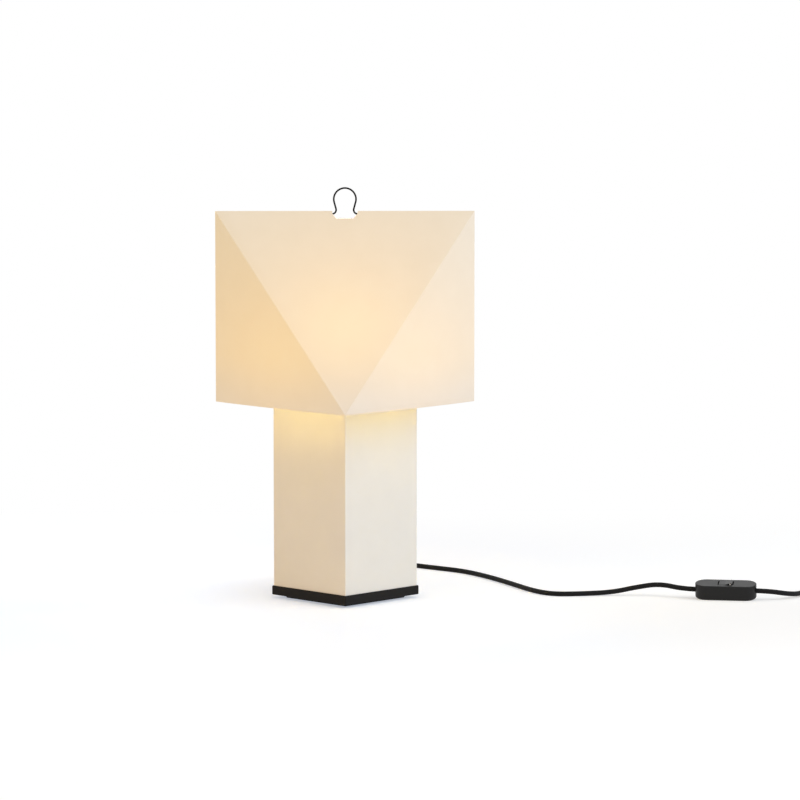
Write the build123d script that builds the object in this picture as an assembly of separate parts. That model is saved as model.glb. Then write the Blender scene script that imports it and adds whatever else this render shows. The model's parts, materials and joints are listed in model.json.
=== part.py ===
from build123d import *
import math
import os

# A table lamp: a folded paper shade, cut like a gem from six triangles, hangs from a wire frame
# over a square column that stands corner-on to the viewer. All sizes are in millimetres.
# Origin: on the floor, under the middle of the lamp. +Z is up, the shade's ridge runs along X,
# and a corner of the shade and of the column points to -Y, at the viewer.

# ---------------------------------------------------------------- driving sizes
# Foot pad and base plate
PAD_SIDE = 101.0
PAD_THICK = 4.0
PLATE_SIDE = 126.0
PLATE_THICK = 11.0
PLATE_EDGE = 0.8

# Column
COLUMN_SIDE = 122.5
COLUMN_HEIGHT = 229.0
WRAP_THICK = 0.8
WRAP_SEAM = 0.3
WRAP_EDGE = 0.9
BOARD_THICK = 6.0
BATTEN_SIDE = 10.0
TOP_BOARD_THICK = 8.0
BOTTOM_BOARD_THICK = 8.0
BOARD_PLAY = 0.1

# Shade
SHADE_SIDE = 220.0
SHADE_HEIGHT = 229.6
RIM_BELOW_COLUMN_TOP = 5.2
PAPER_THICK = 0.8
RIM_BOW = 5.0
NOTCH_TOP_HALF = 15.2
NOTCH_SIDE = 3.0
NOTCH_FOOT_HALF = 10.3
NOTCH_DEPTH = 8.9

# Wire frame of the shade
LOOP_WIRE = 2.1
FRAME_WIRE = 3.0
PAPER_GAP = 0.25
WELD_GAP = 0.1
LOOP_RADIUS = 13.35
LOOP_CENTRE_UP = 14.1
NECK_HALF = 10.5
FOOT_BEND = 5.0
HUB_SIDE = 84.0
HUB_HOLE = 52.0
HUB_THICK = 2.0
SEAT_THICK = 4.0
SEAT_PLAY = 0.4
SPOKE_ON_HUB = 18.0

# Lampholder, tube and lamp
TUBE_RADIUS = 5.0
TUBE_BORE = 3.6
TUBE_BELOW_BOARD = 12.0
TUBE_IN_HOLDER = 8.0
HOLE_PLAY = 0.1
NUT_FLATS = 14.0
NUT_THICK = 4.0
WASHER_RADIUS = 10.0
WASHER_THICK = 1.5
HOLDER_RADIUS = 20.0
HOLDER_NECK = 12.0
HOLDER_CAP_HEIGHT = 18.0
HOLDER_SHELL_HEIGHT = 27.0
HOLDER_WALL = 2.2
INSERT_UP = 13.0
INSERT_THICK = 8.0
SLEEVE_RADIUS = 14.6
SLEEVE_WALL = 0.7
SLEEVE_HEIGHT = 18.0
CONTACT_HEIGHT = 3.0
CONTACT_WIDTH = 5.0
CONTACT_STRIP = 0.8
CONTACT_HALF_LENGTH = 10.0
CONTACT_FOOT = 4.0
CONTACT_CREST = 2.0
CONTACT_SLANT = 0.4
LAMP_CAP_RADIUS = 13.2
LAMP_CAP_HEIGHT = 20.0
LAMP_TIP_RADIUS = 4.5
LAMP_TIP_HEIGHT = 3.0
LAMP_NECK_HEIGHT = 16.0
LAMP_NECK_TOP_RADIUS = 19.0
GLOBE_RADIUS = 22.5
GLOBE_WALL = 0.8

# Mains lead inside the column, its saddle and the bush in the wall
CORD_RADIUS = 3.0
EXIT_UP = 19.0
LEAD_BEND = 28.0
BUSH_FLANGE_RADIUS = 7.5
BUSH_FLANGE_THICK = 2.0
BUSH_NECK_RADIUS = 5.0
BUSH_NUT_RADIUS = 8.0
BUSH_NUT_THICK = 3.0
BUSH_TAIL = 24.0
BUSH_TIP_RADIUS = 4.0
BORE_PLAY = 0.15
SADDLE_OUT = 38.0
SADDLE_WIDTH = 28.0
SADDLE_DEPTH = 9.0
SADDLE_BAR_THICK = 3.0
SADDLE_PART_GAP = 0.3
SADDLE_SCREW_OUT = 9.5

# Fasteners
BASE_SCREW_RADIUS = 2.0
BASE_SCREW_HEAD = 4.0
BASE_SCREW_LENGTH = 16.0
BASE_SCREW_OUT = 32.0
TOP_SCREW_RADIUS = 1.75
TOP_SCREW_HEAD = 3.5
TOP_SCREW_LENGTH = 25.0
SMALL_SCREW_RADIUS = 1.1
SMALL_SCREW_HEAD = 2.3
SMALL_HEAD_THICK = 1.6
PILOT_PLAY = 0.05

# In-line switch, where it lies, and its rocker
SWITCH_LENGTH = 74.0
SWITCH_WIDTH = 27.0
SWITCH_HEIGHT = 18.5
SWITCH_WALL = 2.2
SWITCH_ROUND = 3.0
SWITCH_EDGE = 0.6
SWITCH_X = 459.0
SWITCH_Y = -20.5
SWITCH_YAW = -10.0
SWITCH_ROLL = 10.0
SWITCH_ENTRY_UP = 0.5
ENTRY_DEPTH = 7.5
ROCKER_ROUND = 9.2
ROCKER_WIDTH = 14.0
ROCKER_PIVOT_UP = 5.0
ROCKER_BELOW_PIVOT = 2.8
ROCKER_TILT = 8.0
ROCKER_PROUD = 0.2
ROCKER_PLAY = 0.35
PIN_RADIUS = 1.0
PIN_RUNNING_PLAY = 0.05
LUG_THICK = 2.0
LUG_HALF_WIDTH = 3.0
MARK_RADIUS = 0.85
MARK_PROUD = 0.15
MARK_DEEP = 1.0
MARK_FROM_END = 2.9
MARK_BELOW_TOP = 1.1
POST_RADIUS = 2.8
POST_X = 16.0
POST_Y = 7.2
TERMINAL_SIZE = (8.0, 6.0, 4.5)
TERMINAL_OUT = 22.0

# Plug
PLUG_WIDTH = 35.3
PLUG_THICK = 13.7
PLUG_LENGTH = 36.0
PLUG_TAIL_WIDTH = 17.0
PLUG_TAIL_THICK = 11.0
PIN_SPACING = 18.6
PLUG_PIN_RADIUS = 2.0
PLUG_PIN_LENGTH = 19.0
PLUG_PIN_ROOT = 6.0
RELIEF_LENGTH = 28.0
RELIEF_ROOT_RADIUS = 5.2
RELIEF_TIP_RADIUS = 4.0

# Put-away coil of the lead and the tie round it
TURN_GAP = 0.5
COIL_OUTER_TURN = 39.5
SPIRAL_HALF_TURNS = 4
COIL_START = (582.0, 46.0)
COIL_HEADING = 42.0
TIE_THICK = 0.9
TIE_WIDTH = 9.0
TIE_FLOOR_PLAY = 0.3
TIE_SIDE_PLAY = 0.9
TIE_INWARD = 0.5
TIE_TAB = 12.0

# Routes of the free lead, chosen by hand. It lies on the floor behind the lamp and rises over a
# low arch to the switch. Each route's first and last runs come from the pieces that the lead
# meets, and keep straight out of them.
FLOOR_REST = 0.1
LAY = CORD_RADIUS + FLOOR_REST
RUN_FROM_BUSH = 23.0
RUN_FROM_SWITCH = 14.0
RUN_FROM_COIL = 21.0
RUN_INTO_COIL = 22.0
RUN_INTO_PLUG = 21.0
LAMP_ROUTE = [
    (-83.5, 102, 27),
    (-83, 128, 14),
    (-75, 161, LAY),
    (-57, 200, LAY),
    (-28, 234, LAY),
    (8, 259, LAY),
    (44, 272, LAY),
    (79, 259, LAY),
    (112, 230, LAY),
    (149, 200, LAY),
    (180, 147, LAY),
    (206, 88, LAY),
    (229, 32, LAY),
    (252, 4, LAY),
    (290, 8, LAY),
    (324, 11, 4.4),
    (353, 13, 10.2),
    (381, 9, 14.9),
]
WALL_ROUTE = [
    (537, -19, 6.0),
    (553, 5, 3.4),
]
TAIL_ROUTE = [
    (668, 3, 7.0),
    (666, -23, 4.6),
    (656, -47, PLUG_THICK / 2),
]
PLUG_HEADING = -112.0

# ---------------------------------------------------------------- levels worked out from them
PLATE_FLOOR = PAD_THICK
COLUMN_FOOT = PAD_THICK + PLATE_THICK
COLUMN_TOP = COLUMN_FOOT + COLUMN_HEIGHT
BOARD_SIDE = COLUMN_SIDE - 2 * WRAP_THICK
INNER_SIDE = BOARD_SIDE - 2 * BOARD_THICK
LID_SIDE = INNER_SIDE - 2 * BOARD_PLAY
BATTEN_OUT = INNER_SIDE / 2 - BATTEN_SIDE / 2
BATTEN_FOOT = COLUMN_FOOT + BOTTOM_BOARD_THICK
BATTEN_TOP = COLUMN_TOP - TOP_BOARD_THICK
EXIT_Z = COLUMN_FOOT + EXIT_UP
BUSH_MOUTH = COLUMN_SIDE / 2 + BUSH_FLANGE_THICK + BUSH_TAIL

SHADE_RIM = COLUMN_TOP - RIM_BELOW_COLUMN_TOP
RIDGE = SHADE_RIM + SHADE_HEIGHT
HALF_DIAGONAL = SHADE_SIDE / math.sqrt(2)
LEAN = math.atan(HALF_DIAGONAL / SHADE_HEIGHT)
FRAME_R = FRAME_WIRE / 2
LOOP_R = LOOP_WIRE / 2
RIDGE_WIRE_Z = RIDGE - (PAPER_THICK + PAPER_GAP + LOOP_R) / math.sin(LEAN)
SPOKE_Z = COLUMN_TOP + HUB_THICK + FRAME_R
UPRIGHT_X = HALF_DIAGONAL - (PAPER_THICK + PAPER_GAP + FRAME_R) * math.sqrt(2)

SEAT_TOP = COLUMN_TOP + SEAT_THICK
HOLDER_SPLIT = SEAT_TOP + HOLDER_CAP_HEIGHT
INSERT_FLOOR = SEAT_TOP + INSERT_UP
INSERT_TOP = INSERT_FLOOR + INSERT_THICK
LAMP_TIP = INSERT_TOP + CONTACT_HEIGHT
LAMP_CAP_FOOT = LAMP_TIP + LAMP_TIP_HEIGHT
LAMP_CAP_TOP = LAMP_CAP_FOOT + LAMP_CAP_HEIGHT
LAMP_NECK_TOP = LAMP_CAP_TOP + LAMP_NECK_HEIGHT

TURN_PITCH = 2 * CORD_RADIUS + TURN_GAP
COIL_Z = TIE_THICK + TIE_FLOOR_PLAY + CORD_RADIUS


# ---------------------------------------------------------------- helpers
def block(size_x, size_y, low, high, x=0.0, y=0.0):
    """Upright rectangular block between two levels."""
    return Pos(x, y, (low + high) / 2) * Box(size_x, size_y, high - low)


def rod(radius, low, high, x=0.0, y=0.0):
    """Upright round bar between two levels."""
    return Pos(x, y, (low + high) / 2) * Cylinder(radius, high - low)


def turned(profile):
    """Solid of revolution about Z from (radius, height) points."""
    return revolve(Plane.XZ * Polygon(*profile, align=None), Axis.Z)


def prism(points, low, high):
    """Upright prism over a plan outline."""
    return extrude(Plane.XY.offset(low) * Polygon(*points, align=None), high - low)


def across(points, half_width):
    """Prism over an (x, z) outline, as wide along Y on both sides."""
    return extrude(Plane.XZ * Polygon(*points, align=None), half_width, both=True)


def corner_on(shape):
    """Turn a piece of the column so that its corner points at the viewer."""
    return Rot(0, 0, 45) * shape


def four_corners(shape_at, out):
    """The same piece at the four corners of a square, as separate solids."""
    return [shape_at(sx * out, sy * out) for sx in (-1, 1) for sy in (-1, 1)]


def countersunk(radius, head_radius, tip, face, x=0.0, y=0.0):
    """Screw whose flat head lies in the face, with its point at tip."""
    sink = head_radius - radius
    into = 1 if tip > face else -1
    low = min(tip, face + into * sink)
    high = max(tip, face + into * sink)
    cone = Cone(radius, head_radius, sink) if into < 0 else Cone(head_radius, radius, sink)
    return rod(radius, low, high, x, y) + Pos(x, y, face + into * sink / 2) * cone


def hexagon_bar(flats, low, high):
    """Upright hexagonal bar."""
    return extrude(Plane.XY.offset(low) * RegularPolygon(flats / math.sqrt(3), 6), high - low)


def tube_along(path, radius):
    """Round bar swept along a path from its start."""
    start = Plane(origin=path @ 0, z_dir=path % 0)
    return sweep(start * Circle(radius), path=path)


# ---------------------------------------------------------------- foot, plate and column
def foot_pad():
    return chamfer(block(PAD_SIDE, PAD_SIDE, 0, PAD_THICK).edges().group_by(Axis.Z)[0], 0.6)


def base_plate():
    plate = block(PLATE_SIDE, PLATE_SIDE, PLATE_FLOOR, COLUMN_FOOT)
    plate = chamfer(plate.edges(), PLATE_EDGE)
    for screw in base_screw_list(PILOT_PLAY):
        plate -= screw
    return plate


def base_screw_list(play=0.0):
    """Machine screws up through the plate into the bottom board; play widens them into holes."""
    tip = PLATE_FLOOR + BASE_SCREW_LENGTH + play
    return four_corners(
        lambda x, y: countersunk(BASE_SCREW_RADIUS + play, BASE_SCREW_HEAD + play, tip, PLATE_FLOOR, x, y),
        BASE_SCREW_OUT,
    )


def top_screw_list(play=0.0):
    """Wood screws down through the top board into the battens; play widens them into holes."""
    tip = COLUMN_TOP - TOP_SCREW_LENGTH - play
    return four_corners(
        lambda x, y: countersunk(TOP_SCREW_RADIUS + play, TOP_SCREW_HEAD + play, tip, COLUMN_TOP, x, y),
        BATTEN_OUT,
    )


def bottom_board():
    board = block(LID_SIDE, LID_SIDE, COLUMN_FOOT, BATTEN_FOOT)
    for screw in base_screw_list(PILOT_PLAY):
        board -= screw
    for screw in saddle_screw_list(PILOT_PLAY):
        board -= screw
    return board


def column_board(quarter):
    """One of the four mitred boards; quarter 0 faces the viewer's right, and they go round to the left."""
    outer = BOARD_SIDE / 2
    inner = INNER_SIDE / 2
    outline = [(-outer, -outer), (outer, -outer), (inner, -inner), (-inner, -inner)]
    return Rot(0, 0, 90 * quarter) * prism(outline, COLUMN_FOOT, COLUMN_TOP)


def bush_hole():
    """Hole for the neck of the bush, through wrap and board of the face at the back left."""
    return along_exit(Pos(0, 0, -BOARD_THICK) * Cylinder(BUSH_NECK_RADIUS + HOLE_PLAY, 4 * BOARD_THICK))


def along_exit(shape):
    """Put a piece that was made along Z, from Z = 0 outwards, on the lead's way out of the column."""
    return Pos(0, COLUMN_SIDE / 2, EXIT_Z) * Rot(-90, 0, 0) * shape


def column_wrap():
    """Paper skin folded round the four boards, with a butt seam by the back corner."""
    wrap = block(COLUMN_SIDE, COLUMN_SIDE, COLUMN_FOOT, COLUMN_TOP)
    wrap = fillet(wrap.edges().filter_by(Axis.Z), WRAP_EDGE)
    wrap -= block(BOARD_SIDE, BOARD_SIDE, COLUMN_FOOT, COLUMN_TOP)
    seam_x = BOARD_SIDE / 2 - WRAP_SEAM / 2
    wrap -= block(WRAP_SEAM, 4 * WRAP_THICK, COLUMN_FOOT, COLUMN_TOP, seam_x, COLUMN_SIDE / 2)
    return wrap - bush_hole()


def battens():
    pieces = four_corners(
        lambda x, y: block(BATTEN_SIDE, BATTEN_SIDE, BATTEN_FOOT, BATTEN_TOP, x, y), BATTEN_OUT
    )
    screws = top_screw_list(PILOT_PLAY)
    return Compound([(piece - screw).solid() for piece, screw in zip(pieces, screws)])


def top_board():
    board = block(LID_SIDE, LID_SIDE, BATTEN_TOP, COLUMN_TOP)
    for screw in top_screw_list(PILOT_PLAY):
        board -= screw
    return board - rod(TUBE_RADIUS + HOLE_PLAY, BATTEN_TOP, COLUMN_TOP)


def shade_seat():
    """Square block that the shade's hub drops over."""
    side = HUB_HOLE - 2 * SEAT_PLAY
    seat = block(side, side, COLUMN_TOP, SEAT_TOP)
    seat = chamfer(seat.edges().group_by(Axis.Z)[-1], 0.8)
    return seat - rod(TUBE_RADIUS + HOLE_PLAY, COLUMN_TOP, SEAT_TOP)


# ---------------------------------------------------------------- lampholder and lamp
def threaded_tube():
    low = BATTEN_TOP - TUBE_BELOW_BOARD
    high = SEAT_TOP + TUBE_IN_HOLDER
    return rod(TUBE_RADIUS, low, high) - rod(TUBE_BORE, low, high)


def lock_washer():
    low = BATTEN_TOP - WASHER_THICK
    return rod(WASHER_RADIUS, low, BATTEN_TOP) - rod(TUBE_RADIUS + HOLE_PLAY, low, BATTEN_TOP)


def lock_nut():
    high = BATTEN_TOP - WASHER_THICK
    nut = hexagon_bar(NUT_FLATS, high - NUT_THICK, high)
    return nut - rod(TUBE_RADIUS + HOLE_PLAY, high - NUT_THICK, high)


def holder_cap():
    """Cup that screws on the tube and carries the terminal block on a ledge."""
    bore = TUBE_RADIUS + HOLE_PLAY
    inside = HOLDER_RADIUS - HOLDER_WALL
    ledge = inside - 3.0
    return turned([
        (bore, SEAT_TOP), (HOLDER_NECK, SEAT_TOP), (HOLDER_RADIUS, INSERT_FLOOR - 2),
        (HOLDER_RADIUS, HOLDER_SPLIT), (inside, HOLDER_SPLIT), (inside, INSERT_FLOOR),
        (ledge, INSERT_FLOOR), (ledge, INSERT_FLOOR - 2), (HOLDER_NECK - 2, SEAT_TOP + TUBE_IN_HOLDER),
        (bore, SEAT_TOP + TUBE_IN_HOLDER),
    ])


def terminal_block():
    return rod(HOLDER_RADIUS - HOLDER_WALL - HOLE_PLAY, INSERT_FLOOR, INSERT_TOP)


def holder_shell():
    """Skirt round the screw sleeve, closed in at its mouth."""
    top = HOLDER_SPLIT + HOLDER_SHELL_HEIGHT
    inside = HOLDER_RADIUS - HOLDER_WALL
    mouth = SLEEVE_RADIUS + 0.6
    return turned([
        (inside, HOLDER_SPLIT), (HOLDER_RADIUS, HOLDER_SPLIT), (HOLDER_RADIUS, top - 1),
        (HOLDER_RADIUS - 1, top), (mouth, top), (mouth, top - HOLDER_WALL), (inside, top - HOLDER_WALL),
    ])


def screw_sleeve():
    high = INSERT_TOP + SLEEVE_HEIGHT
    return rod(SLEEVE_RADIUS, INSERT_TOP, high) - rod(SLEEVE_RADIUS - SLEEVE_WALL, INSERT_TOP, high)


def centre_contact():
    """Brass tongue, bent up in the middle to touch the lamp's tip."""
    crest = CONTACT_HEIGHT - CONTACT_STRIP
    right_under = [(CONTACT_CREST, crest), (CONTACT_FOOT, 0), (CONTACT_HALF_LENGTH, 0)]
    right_over = [
        (CONTACT_HALF_LENGTH, CONTACT_STRIP), (CONTACT_FOOT + CONTACT_SLANT, CONTACT_STRIP),
        (CONTACT_CREST + CONTACT_SLANT, CONTACT_HEIGHT),
    ]
    right = right_under + right_over
    left = [(-x, z) for x, z in reversed(right)]
    return Pos(0, 0, INSERT_TOP) * across(right + left, CONTACT_WIDTH / 2)


def lamp_tip():
    return turned([
        (0, LAMP_TIP), (LAMP_TIP_RADIUS * 0.6, LAMP_TIP), (LAMP_TIP_RADIUS, LAMP_TIP + 1),
        (LAMP_CAP_RADIUS * 0.8, LAMP_CAP_FOOT), (0, LAMP_CAP_FOOT),
    ])


def lamp_cap():
    """Metal cap with its rolled thread."""
    turns = 5
    pitch = LAMP_CAP_HEIGHT / (turns + 1)
    body = rod(LAMP_CAP_RADIUS - 0.6, LAMP_CAP_FOOT, LAMP_CAP_TOP)
    for turn in range(turns):
        low = LAMP_CAP_FOOT + (turn + 0.4) * pitch
        body += turned([
            (0, low), (LAMP_CAP_RADIUS - 0.7, low), (LAMP_CAP_RADIUS, low + pitch * 0.35),
            (LAMP_CAP_RADIUS, low + pitch * 0.5), (LAMP_CAP_RADIUS - 0.7, low + pitch * 0.85),
            (0, low + pitch * 0.85),
        ])
    return body


def lamp_neck():
    """Plastic body between cap and globe."""
    return turned([
        (0, LAMP_CAP_TOP), (LAMP_CAP_RADIUS + 0.6, LAMP_CAP_TOP), (LAMP_CAP_RADIUS + 0.8, LAMP_CAP_TOP + 4),
        (LAMP_NECK_TOP_RADIUS, LAMP_NECK_TOP), (0, LAMP_NECK_TOP),
    ])


def lamp_globe():
    """Thin opal globe, open at its foot where the neck closes it."""
    centre_up = math.sqrt(GLOBE_RADIUS ** 2 - LAMP_NECK_TOP_RADIUS ** 2)
    centre = Pos(0, 0, LAMP_NECK_TOP + centre_up)
    globe = centre * Sphere(GLOBE_RADIUS) - centre * Sphere(GLOBE_RADIUS - GLOBE_WALL)
    return globe - block(3 * GLOBE_RADIUS, 3 * GLOBE_RADIUS, LAMP_CAP_TOP, LAMP_NECK_TOP)


# ---------------------------------------------------------------- lead inside the column
def inner_lead():
    """From the mouth of the bush over the saddle, up the middle and into the lampholder."""
    path = FilletPolyline((0, BUSH_MOUTH, EXIT_Z), (0, 0, EXIT_Z), (0, 0, INSERT_FLOOR), radius=LEAD_BEND)
    return tube_along(path, CORD_RADIUS)


def cord_bush():
    """Tapered strain relief with a flange outside the wall and a nut inside it."""
    inside = -(WRAP_THICK + BOARD_THICK)
    bore = CORD_RADIUS + BORE_PLAY
    profile = [
        (bore, inside - BUSH_NUT_THICK), (BUSH_NECK_RADIUS, inside - BUSH_NUT_THICK), (BUSH_NECK_RADIUS, 0),
        (BUSH_FLANGE_RADIUS, 0), (BUSH_FLANGE_RADIUS, BUSH_FLANGE_THICK),
        (BUSH_NECK_RADIUS + 0.8, BUSH_FLANGE_THICK), (BUSH_TIP_RADIUS, BUSH_FLANGE_THICK + BUSH_TAIL),
        (bore, BUSH_FLANGE_THICK + BUSH_TAIL),
    ]
    return along_exit(turned(profile))


def bush_nut():
    inside = -(WRAP_THICK + BOARD_THICK)
    nut = hexagon_bar(2 * BUSH_NUT_RADIUS * math.cos(math.pi / 6), inside - BUSH_NUT_THICK, inside)
    return along_exit(nut - rod(BUSH_NECK_RADIUS + HOLE_PLAY, inside - BUSH_NUT_THICK, inside))


def saddle_groove():
    groove = Rot(-90, 0, 0) * Cylinder(CORD_RADIUS + BORE_PLAY, 3 * SADDLE_DEPTH)
    return Pos(0, SADDLE_OUT, EXIT_Z) * groove


def saddle_base():
    high = EXIT_Z - SADDLE_PART_GAP / 2
    base = block(SADDLE_WIDTH, SADDLE_DEPTH, BATTEN_FOOT, high, 0, SADDLE_OUT)
    for screw in saddle_screw_list(PILOT_PLAY):
        base -= screw
    return base - saddle_groove()


def saddle_bar():
    low = EXIT_Z + SADDLE_PART_GAP / 2
    bar = block(SADDLE_WIDTH, SADDLE_DEPTH, low, saddle_top(), 0, SADDLE_OUT)
    for screw in saddle_screw_list(PILOT_PLAY):
        bar -= screw
    return bar - saddle_groove()


def saddle_top():
    return EXIT_Z + CORD_RADIUS + SADDLE_BAR_THICK


def saddle_screw_list(play=0.0):
    tip = BATTEN_FOOT - BOTTOM_BOARD_THICK / 2 - play
    return [
        countersunk(SMALL_SCREW_RADIUS + play, SMALL_SCREW_HEAD + play, tip, saddle_top(), x, SADDLE_OUT)
        for x in (-SADDLE_SCREW_OUT, SADDLE_SCREW_OUT)
    ]


# ---------------------------------------------------------------- paper shade
def shade_body(inset):
    """Closed body of the shade, bowed at its rim; inset shrinks it to the paper's inner face."""
    half = HALF_DIAGONAL - inset * math.sqrt(2)
    ridge = RIDGE - inset / math.sin(LEAN)
    foot_y = (ridge - SHADE_RIM) * math.tan(LEAN)
    roof = [(-foot_y, SHADE_RIM), (foot_y, SHADE_RIM), (0, ridge)]
    roof = extrude(Plane.YZ * Polygon(*roof, align=None), 2 * half, both=True)
    body = prism([(-half, 0), (0, -half), (half, 0), (0, half)], SHADE_RIM, ridge + 1) & roof
    for sign_x in (-1, 1):
        for sign_y in (-1, 1):
            body += rim_bow(sign_x * half, sign_y * half, ridge)
    return body


def rim_bow(corner_x, corner_y, ridge):
    """Sliver between a flat side and the bowed one: a cone from the ridge's end to an arc at the rim."""
    bulge = RIM_BOW / math.sqrt(2)
    middle = (corner_x / 2 + math.copysign(bulge, corner_x), corner_y / 2 + math.copysign(bulge, corner_y))
    ends = (corner_x, 0, SHADE_RIM), (0, corner_y, SHADE_RIM)
    arc = ThreePointArc(ends[0], (*middle, SHADE_RIM), ends[1])
    return loft([make_face([arc, Line(ends[1], ends[0])]), Vertex(corner_x, 0, ridge)])


def crease_plane(sign_x, sign_y):
    """Plane through a crease that halves the angle between the big triangle and the side beside it."""
    top = Vector(sign_x * HALF_DIAGONAL, 0, RIDGE)
    foot = Vector(0, sign_y * HALF_DIAGONAL, SHADE_RIM)
    into_big = Vector(0, -sign_y * math.cos(LEAN), -math.sin(LEAN))
    into_side = Vector(-sign_x, -sign_y, 0).normalized()
    normal = (foot - top).cross(into_big + into_side).normalized()
    if normal.dot(Vector(-sign_x, 0, 0)) < 0:
        normal = normal * -1
    return Plane(origin=top, z_dir=normal)


def shade_panels():
    """The six facets of the folded sheet, cut apart along its creases."""
    sheet = shade_body(0) - shade_body(PAPER_THICK)
    notch = [
        (-NOTCH_FOOT_HALF, RIDGE - NOTCH_DEPTH), (NOTCH_FOOT_HALF, RIDGE - NOTCH_DEPTH),
        (NOTCH_TOP_HALF, RIDGE - NOTCH_SIDE), (NOTCH_TOP_HALF, RIDGE + 1),
        (-NOTCH_TOP_HALF, RIDGE + 1), (-NOTCH_TOP_HALF, RIDGE - NOTCH_SIDE),
    ]
    sheet -= across(notch, HALF_DIAGONAL)
    panels = {}
    for sign_y, place in ((-1, "front"), (1, "back")):
        half = split(sheet, Plane.XZ, keep=Keep.TOP if sign_y < 0 else Keep.BOTTOM)
        for sign_x, hand in ((-1, "left"), (1, "right")):
            crease = crease_plane(sign_x, sign_y)
            panels[f"shade_{place}_{hand}_facet"] = split(half, crease, keep=Keep.BOTTOM)
            half = split(half, crease, keep=Keep.TOP)
        panels[f"shade_{place}_facet"] = half
    return panels


# ---------------------------------------------------------------- wire frame of the shade
def ridge_wire():
    """One wire: under the fold, up round the lifting loop, and on under the fold."""
    loop_x, loop_z = 0.0, RIDGE + LOOP_CENTRE_UP
    foot_x, foot_z = NECK_HALF + FOOT_BEND, RIDGE_WIRE_Z + FOOT_BEND
    span = math.hypot(foot_x - loop_x, foot_z - loop_z)
    down = math.atan2(foot_z - loop_z, foot_x - loop_x)
    lean = down + math.acos((LOOP_RADIUS + FOOT_BEND) / span)
    side = Vector(math.cos(lean), 0, math.sin(lean))
    half_lean = (lean + math.pi + 1.5 * math.pi) / 2
    end_x = UPRIGHT_X + FRAME_R - WELD_GAP

    def mirrored(point):
        return Vector(-point.X, 0, point.Z)

    loop_touch = Vector(loop_x, 0, loop_z) + side * LOOP_RADIUS
    foot_touch = Vector(foot_x, 0, foot_z) - side * FOOT_BEND
    foot_middle = Vector(foot_x + FOOT_BEND * math.cos(half_lean), 0, foot_z + FOOT_BEND * math.sin(half_lean))
    foot_end = Vector(foot_x, 0, RIDGE_WIRE_Z)
    wire_end = Vector(end_x, 0, RIDGE_WIRE_Z)
    right = [
        ThreePointArc(foot_touch, foot_middle, foot_end),
        Line(foot_end, wire_end),
    ]
    left = [
        Line(mirrored(wire_end), mirrored(foot_end)),
        ThreePointArc(mirrored(foot_end), mirrored(foot_middle), mirrored(foot_touch)),
    ]
    loop = [
        Line(mirrored(foot_touch), mirrored(loop_touch)),
        ThreePointArc(mirrored(loop_touch), Vector(0, 0, loop_z + LOOP_RADIUS), loop_touch),
        Line(loop_touch, foot_touch),
    ]
    return tube_along(Wire(left + loop + right), LOOP_R)


def upright(side):
    """Wire up the vertical fold, from just over the rim to just under the ridge wire."""
    low = SHADE_RIM + 2.0
    high = RIDGE_WIRE_Z - LOOP_R - WELD_GAP
    return rod(FRAME_R, low, high, side * UPRIGHT_X)


def spoke(heading, end):
    """Wire from the hub's top out to a corner of the shade."""
    start = HUB_SIDE / math.sqrt(2) - SPOKE_ON_HUB
    wire = Pos(0, 0, SPOKE_Z) * Rot(0, 90, 0) * rod(FRAME_R, start, end)
    return Rot(0, 0, heading) * wire


def side_spoke_end():
    return UPRIGHT_X - FRAME_R - WELD_GAP


def front_spoke_end():
    """Where the top of a spoke's end comes up to the big triangle's inner face."""
    face = (RIDGE - SPOKE_Z - FRAME_R) * math.tan(LEAN) - PAPER_THICK / math.cos(LEAN)
    return face - PAPER_GAP / math.cos(LEAN)


def shade_hub():
    """Square ring that drops over the seat and rests on the top board."""
    hub = block(HUB_SIDE, HUB_SIDE, COLUMN_TOP, COLUMN_TOP + HUB_THICK)
    return hub - block(HUB_HOLE, HUB_HOLE, COLUMN_TOP, COLUMN_TOP + HUB_THICK)


# ---------------------------------------------------------------- in-line switch
def switch_rest_height():
    """Height of the switch's middle when its rounded lower edge rests on the floor."""
    roll = math.radians(SWITCH_ROLL)
    out = SWITCH_WIDTH / 2 - SWITCH_ROUND
    down = SWITCH_HEIGHT / 2 - SWITCH_ROUND
    return out * math.sin(roll) + down * math.cos(roll) + SWITCH_ROUND


def switch_place():
    """Frame of the switch: X along it, Z out of its top, origin in its middle."""
    return Pos(SWITCH_X, SWITCH_Y, switch_rest_height()) * Rot(0, 0, SWITCH_YAW) * Rot(SWITCH_ROLL, 0, 0)


def stadium(length, width, low, high):
    return extrude(Plane.XY.offset(low) * SlotOverall(length, width), high - low)


def switch_inside(low, high):
    return stadium(SWITCH_LENGTH - 2 * SWITCH_WALL, SWITCH_WIDTH - 2 * SWITCH_WALL, low, high)


def cord_entries():
    """Round hole through both ends for the lead."""
    hole = Rot(0, 90, 0) * Cylinder(CORD_RADIUS + BORE_PLAY, 2 * SWITCH_LENGTH)
    return Pos(0, 0, SWITCH_ENTRY_UP) * hole


def post_places():
    return [(-POST_X, -POST_Y), (POST_X, POST_Y)]


def switch_screw_list(play=0.0):
    low = -SWITCH_HEIGHT / 2 + 0.3
    neck = low + SMALL_HEAD_THICK
    tip = SWITCH_HEIGHT / 2 - SWITCH_WALL - 1.5
    return [
        rod(SMALL_SCREW_HEAD + play, low, neck, x, y) + rod(SMALL_SCREW_RADIUS + play, neck, tip + play, x, y)
        for x, y in post_places()
    ]


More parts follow.
